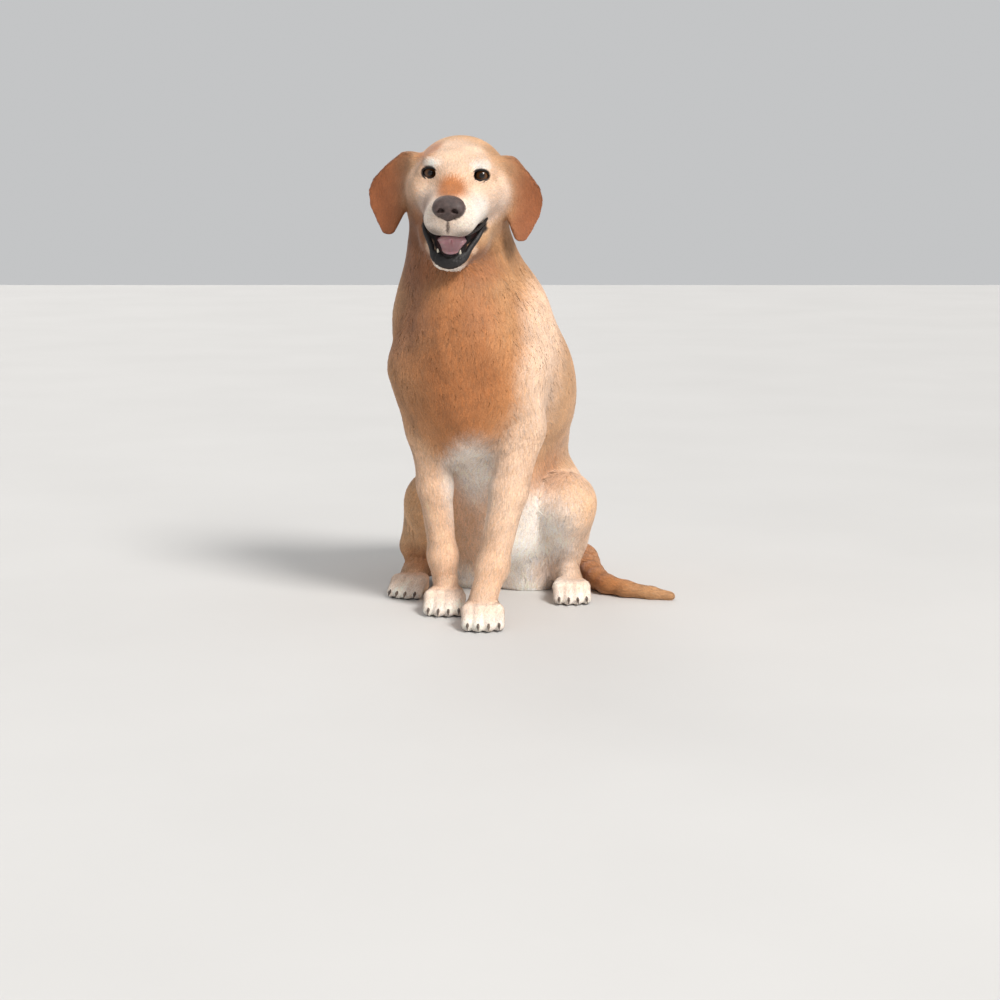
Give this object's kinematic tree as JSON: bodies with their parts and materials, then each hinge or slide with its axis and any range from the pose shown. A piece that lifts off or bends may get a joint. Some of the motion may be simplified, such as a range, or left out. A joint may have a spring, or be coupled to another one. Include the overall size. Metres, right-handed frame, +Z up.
{
  "type": "labrador retriever",
  "caption": "Yellow Labrador dog sitting upright with its mouth open and its tail laid along the floor, life size, as a still museum-style model.",
  "frame": {"origin": "centre of the bounding box's base, on the floor the dog sits on", "axes": "+Z up; the dog looks along -Y, and its own left side is at +X"},
  "size_m": [0.4688, 0.5974, 0.7204],
  "materials": {
    "coat": "short dense fox-red to cream coat, satin",
    "nose": "pebbled, slightly wet",
    "eyes": "polished dark amber",
    "tongue": "moist, finely pebbled",
    "claws": "smooth dark horn"
  },
  "bodies": {
    "root": {"abdomen": "coat", "chest": "coat", "claw_front_left_1": "claws", "claw_front_left_2": "claws", "claw_front_left_3": "claws", "claw_front_left_4": "claws", "claw_front_right_1": "claws", "claw_front_right_2": "claws", "claw_front_right_3": "claws", "claw_front_right_4": "claws", "claw_hind_left_1": "claws", "claw_hind_left_2": "claws", "claw_hind_left_3": "claws", "claw_hind_left_4": "claws", "claw_hind_right_1": "claws", "claw_hind_right_2": "claws", "claw_hind_right_3": "claws", "claw_hind_right_4": "claws", "ear_left": "coat", "ear_right": "coat", "eye_left": "eyes", "eye_right": "eyes", "forearm_left": "coat", "forearm_right": "coat", "front_paw_left": "coat", "front_paw_right": "coat", "head": "coat", "hind_paw_left": "coat", "hind_paw_right": "coat", "lower_jaw": "coat", "neck": "coat", "nose": "nose", "rump": "coat", "shank_left": "coat", "shank_right": "coat", "tail_base": "coat", "tail_middle": "coat", "tail_tip": "coat", "thigh_left": "coat", "thigh_right": "coat", "tongue": "tongue"}
  },
  "joints": []
}
